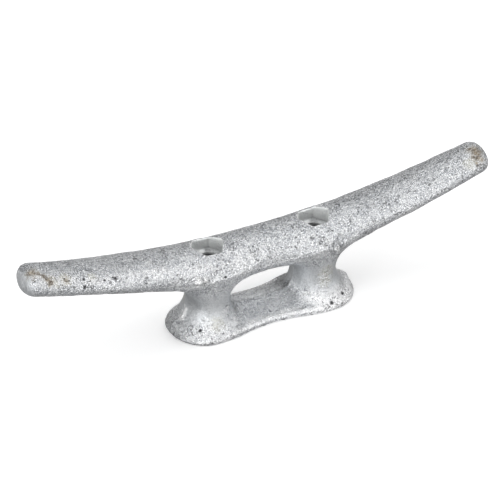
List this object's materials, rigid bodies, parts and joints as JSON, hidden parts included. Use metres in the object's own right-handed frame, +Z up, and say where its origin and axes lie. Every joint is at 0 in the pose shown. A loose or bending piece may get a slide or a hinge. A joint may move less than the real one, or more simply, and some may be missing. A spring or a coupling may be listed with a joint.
{
  "type": "open-base mooring cleat",
  "caption": "Cast open-base mooring cleat: a bar swept up into horns on flared legs over a waisted base, with bolt holes through the legs and hexagonal pockets for the bolt heads.",
  "frame": {"origin": "centre of the flat underside of the base", "axes": "+X along the horns, +Y across the cleat, +Z up from the deck"},
  "size_m": [0.254, 0.0362, 0.0609],
  "materials": {
    "galvanised_iron": "hot-dip galvanised over a sand-cast surface: light mottled grey zinc, pebbled and semi-bright on the crowns, smoother and duller in the hollows, with small rust stains at the horn ends"
  },
  "bodies": {
    "root": {"cleat_casting": "galvanised_iron"}
  },
  "joints": []
}
